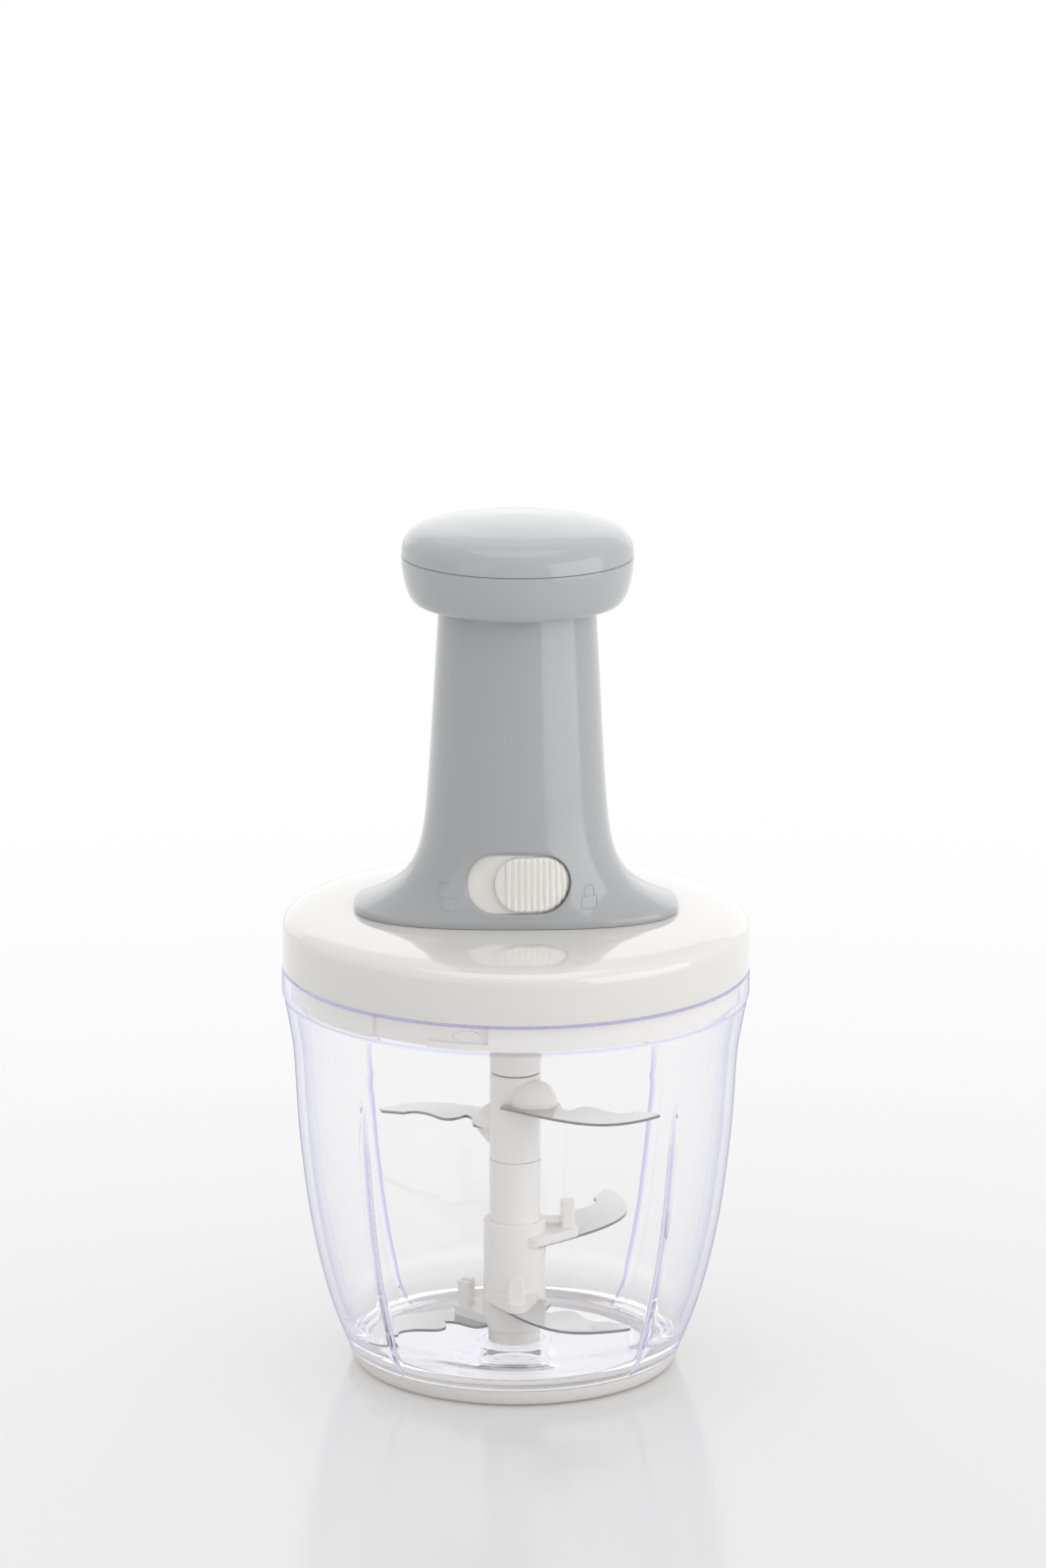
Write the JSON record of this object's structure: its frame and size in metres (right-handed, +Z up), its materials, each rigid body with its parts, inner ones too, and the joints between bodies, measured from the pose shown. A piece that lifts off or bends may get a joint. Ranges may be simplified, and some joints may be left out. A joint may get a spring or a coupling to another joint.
{
  "type": "plunger food chopper",
  "caption": "Hand-pushed food chopper: ribbed clear bowl with scimitar blades on a pivoting column, twist-on lid with a flared tower, locking plunger knob and spiral-rod drive.",
  "frame": {"origin": "centre of the base ring, on the table it stands on", "axes": "+Z up along the column and plunger, -Y towards the lock slider at the front, +X to the slider's right"},
  "size_m": [0.13, 0.13, 0.2409],
  "materials": {
    "clear_bowl": "clear, polished",
    "white_plastic": "warm white, glossy",
    "grey_plastic": "cool light grey, glossy",
    "drive_plastic": "natural, satin",
    "soft_grip": "off-white, matt",
    "blade_steel": "bright, finely brushed",
    "rod_steel": "bright",
    "spring_steel": "bright",
    "screw_steel": "bright"
  },
  "bodies": {
    "bowl": {"bowl": "clear_bowl", "base_ring": "soft_grip"},
    "lid": {"lid": "white_plastic", "inner_lid": "white_plastic", "lid_seal": "soft_grip", "lid_screws": "screw_steel", "tower": "grey_plastic", "tower_screws": "screw_steel", "latch_bracket": "white_plastic", "bracket_screws": "screw_steel", "thrust_washer": "drive_plastic"},
    "plunger": {"knob_cap": "grey_plastic", "knob_ring": "grey_plastic", "plunger_sleeve": "grey_plastic", "knob_screws": "screw_steel", "drive_nut": "drive_plastic", "return_spring": "spring_steel"},
    "rod": {"spiral_rod": "rod_steel", "ratchet_driver": "drive_plastic", "rod_pin": "rod_steel"},
    "socket": {"drive_socket": "white_plastic", "ratchet_follower": "drive_plastic", "follower_screw": "screw_steel"},
    "blades": {"blade_mast": "white_plastic", "blade_collar": "white_plastic", "blade_low_front": "blade_steel", "blade_low_back": "blade_steel", "blade_middle": "blade_steel", "blade_top_front": "blade_steel", "blade_top_back": "blade_steel"},
    "slider": {"lock_slider": "white_plastic"}
  },
  "joints": [
    {"name": "lid_lift", "type": "slide", "parent": "bowl", "child": "lid", "axis": [0, 0, 1], "range_m": [0, 0.12]},
    {"name": "plunge", "type": "slide", "parent": "lid", "child": "plunger", "axis": [0, 0, 1], "range_m": [0, 0.048], "deforming": ["return_spring"]},
    {"name": "lock_slide", "type": "hinge", "parent": "lid", "child": "slider", "pos_m": [0, 0, 0.1434], "axis": [0, 0, -1], "range_deg": [0, 13]},
    {"name": "rod_turn", "type": "hinge", "parent": "lid", "child": "rod", "pos_m": [0, 0, 0.13], "axis": [0, 0, 1], "range_deg": [-541, 0]},
    {"name": "socket_turn", "type": "hinge", "parent": "lid", "child": "socket", "pos_m": [0, 0, 0.11], "axis": [0, 0, 1], "range_deg": [-541, 0]},
    {"name": "blade_turn", "type": "hinge", "parent": "bowl", "child": "blades", "pos_m": [0, 0, 0.005], "axis": [0, 0, 1], "range_deg": [-541, 0]}
  ],
  "couplings": [
    {"joint": "rod_turn", "follows": "plunge", "rad_per_m": -196.35},
    {"joint": "socket_turn", "follows": "plunge", "rad_per_m": -196.35},
    {"joint": "blade_turn", "follows": "plunge", "rad_per_m": -196.35}
  ]
}
